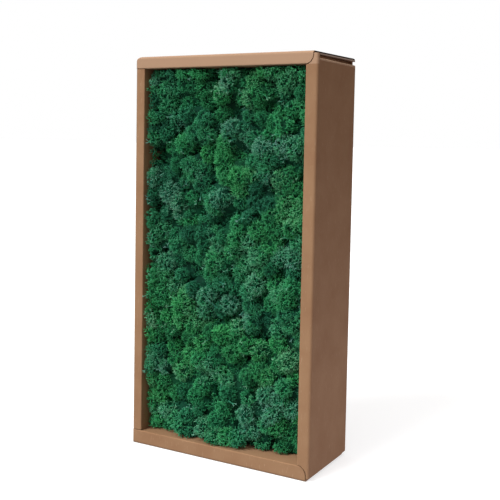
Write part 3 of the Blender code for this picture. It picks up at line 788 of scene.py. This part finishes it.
def build_moss(name, solid, tufts, templates, draw):
    """One clump of tufts over a dark core that has the form of its solid; the core's dark colour is
    painted shade of the clump's depths.
    """
    low = np.array((INSIDE_LEFT + CLEAR_OF_TRAY, FRONT - STANDS_PROUD, INSIDE_LOW + CLEAR_OF_TRAY))
    high = np.array((INSIDE_RIGHT - CLEAR_OF_TRAY, INSIDE_BACK, INSIDE_HIGH - CLEAR_OF_TRAY))
    points, growth, tint, quads, triangles = [], [], [], [], []
    count = 0
    for tuft in tufts:
        shape, grown, side, fours, threes = draw.choice(templates[tuft.kind])
        twist = Matrix.Rotation(draw.uniform(0, math.tau), 3, "Z")
        turn = np.array(tuft.ahead.to_track_quat("Z", "Y").to_matrix() @ twist) * tuft.size
        placed = shape @ turn.T + np.array(tuft.place)
        placed += np.maximum(low - placed.min(axis=0), 0) - np.maximum(placed.max(axis=0) - high, 0)
        points.append(placed)
        growth.append(grown)
        tint.append(np.clip(tuft.tint, 0.0, 1.0 - SIDE_TINT * SIDES) + SIDE_TINT * side)
        quads.append(fours + count)
        triangles.append(threes + count)
        count += len(shape)

    # The core is the solid itself, pressed a little flatter against the back panel. Its dark growths and
    # tints are painted shade of the clump's depths
    core, core_faces = solid_of(solid.data)
    back = core[:, 1].max()
    core[:, 1] = back - (back - core[:, 1]) * CORE_DEPTH_SHARE
    points.append(core)
    growth.append([draw.uniform(*CORE_SHADE_GROWTH) for _ in core])
    tint.append([draw.uniform(*CORE_SHADE_TINTS) for _ in core])
    triangles.append(core_faces + count)

    numbers = {"growth": np.concatenate(growth), "tint": np.concatenate(tint)}
    quads, triangles = np.concatenate(quads), np.concatenate(triangles)
    return object_from_arrays(name, np.concatenate(points), quads, triangles, numbers)


def object_from_arrays(name, points, quads, triangles, attributes):
    """A new object from arrays of points and faces, with a number of each name on every point.

    The two numbers, growth and tint, are also its UV map, because they alone decide its colours.
    """
    mesh = bpy.data.meshes.new(name)
    loops = np.concatenate((quads.ravel(), triangles.ravel())).astype(np.int32)
    sizes = np.concatenate((np.full(len(quads), 4), np.full(len(triangles), 3))).astype(np.int32)
    mesh.vertices.add(len(points))
    mesh.vertices.foreach_set("co", points.astype(np.float32).ravel())
    mesh.loops.add(len(loops))
    mesh.loops.foreach_set("vertex_index", loops)
    mesh.polygons.add(len(sizes))
    starts = np.concatenate(([0], np.cumsum(sizes)[:-1])).astype(np.int32)
    mesh.polygons.foreach_set("loop_start", starts)
    mesh.update(calc_edges=True)
    for label, values in attributes.items():
        layer = mesh.attributes.new(label, "FLOAT", "POINT")
        layer.data.foreach_set("value", values.astype(np.float32))
    if attributes:
        flat = np.stack(list(attributes.values()), axis=1)[loops]
        mesh.uv_layers.new(name=BAKE_MAP).data.foreach_set("uv", flat.astype(np.float32).ravel())
    mesh.validate()
    made = bpy.data.objects.new(name, mesh)
    bpy.context.scene.collection.objects.link(made)
    return made


def place_camera():
    """The camera at the photograph's place and angle."""
    azimuth, dip, roll = CAMERA_AZIMUTH, CAMERA_DIP, CAMERA_ROLL
    ahead = Vector(
        (-math.sin(azimuth) * math.cos(dip), math.cos(azimuth) * math.cos(dip), -math.sin(dip))
    )
    right = ahead.cross(Vector((0, 0, 1))).normalized()
    up = right.cross(ahead)
    rolled_right = right * math.cos(roll) + up * math.sin(roll)
    rolled_up = up * math.cos(roll) - right * math.sin(roll)
    data = bpy.data.cameras.new("camera")
    data.sensor_width = SENSOR_WIDTH
    data.lens = FOCAL_PIXELS / FRAME_WIDTH * SENSOR_WIDTH
    data.shift_y = SHIFT_UP
    data.clip_start = CLIP_START
    camera = bpy.data.objects.new("camera", data)
    turn = Matrix((rolled_right, rolled_up, -ahead)).transposed().to_4x4()
    camera.matrix_world = Matrix.Translation(CAMERA_PLACE) @ turn
    bpy.context.scene.collection.objects.link(camera)
    bpy.context.scene.camera = camera


def add_floor_bounce():
    """A square lamp low on the right, not seen itself, for the light that comes off the floor."""
    data = bpy.data.lights.new("floor_bounce", "AREA")
    data.size = BOUNCE_SIZE
    data.energy = BOUNCE_POWER
    data.color = BOUNCE_COLOUR
    lamp = bpy.data.objects.new("floor_bounce", data)
    lamp.location = BOUNCE_PLACE
    lamp.rotation_euler = (Vector(BOUNCE_AIM) - Vector(BOUNCE_PLACE)).to_track_quat("-Z", "Y").to_euler()
    lamp.visible_camera = False
    bpy.context.scene.collection.objects.link(lamp)


def light_scene():
    """Soft studio light, with a surround that shines less, and browner, from the right.

    The camera itself sees the surround pure white.
    """
    world = bpy.data.worlds.new("studio")
    bpy.context.scene.world = world
    world.use_nodes = True
    tree = world.node_tree
    background = tree.nodes["Background"]
    direction = node(tree, "ShaderNodeTexCoord").outputs["Generated"]
    from_right = node(tree, "ShaderNodeSeparateXYZ", Vector=direction).outputs["X"]
    sky = mix(tree, maths(tree, "MAXIMUM", from_right, 0.0), WHITE, SKY_FROM_RIGHT)
    seen = node(tree, "ShaderNodeLightPath").outputs["Is Camera Ray"]
    tree.links.new(mix(tree, seen, sky, WHITE), background.inputs["Color"])
    tree.links.new(maths(tree, "MAXIMUM", seen, SKY_STRENGTH), background.inputs["Strength"])
    for name, source, width, power in SUNS:
        data = bpy.data.lights.new(name, "SUN")
        data.angle = math.radians(width)
        data.energy = power
        sun = bpy.data.objects.new(name, data)
        sun.rotation_euler = Vector(source).to_track_quat("Z", "Y").to_euler()
        bpy.context.scene.collection.objects.link(sun)
    add_floor_bounce()
    bpy.context.scene.view_settings.view_transform = "Standard"


def lay_floor():
    """A plain white floor that adds no light of its own to the part."""
    corners = ((-1, -1, 0), (1, -1, 0), (1, 1, 0), (-1, 1, 0))
    points = np.array(corners, dtype=float) * FLOOR_REACH
    floor = object_from_arrays("floor", points, np.array([[0, 1, 2, 3]]), np.empty((0, 3)), {})
    material, _, shader = new_material("floor_white", FLOOR_ROUGHNESS, FLOOR_SPECULAR)
    shader.inputs["Base Color"].default_value = (*FLOOR_COLOUR, 1.0)
    shader.inputs["Emission Color"].default_value = (*WHITE, 1.0)
    shader.inputs["Emission Strength"].default_value = FLOOR_GLOW
    floor.data.materials.append(material)
    floor.visible_diffuse = False


def main():
    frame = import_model()
    place_camera()
    light_scene()
    lay_floor()

    tray = frame["nodes"][TRAY]
    kraft = kraft_material()
    for slot in tray.material_slots:
        slot.material = kraft

    draw = random.Random(SEED)
    templates = {}
    for kind, (levels, foot) in KINDS.items():
        templates[kind] = [grow_template(levels, foot, draw) for _ in range(TEMPLATES)]
    materials = {slot: moss_material(slot) for slot in MOSS_LOOKS}
    places = clump_places()
    for part in frame["record"]["subparts"]:
        name = part["node"]
        if name == TRAY:
            continue
        slot = part["material_slot"]
        index = int(name.rsplit("_", 1)[1]) - 1
        limits = clump_limits(places[index], places)
        heads = clump_heads(index, places)
        tufts = place_tufts(places[index], heads, limits, draw)
        moss = build_moss(f"{name}_tufts", frame["nodes"][name], tufts, templates, draw)
        moss.data.materials.append(materials[slot])
        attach(moss, "root")
        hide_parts(name)


main()
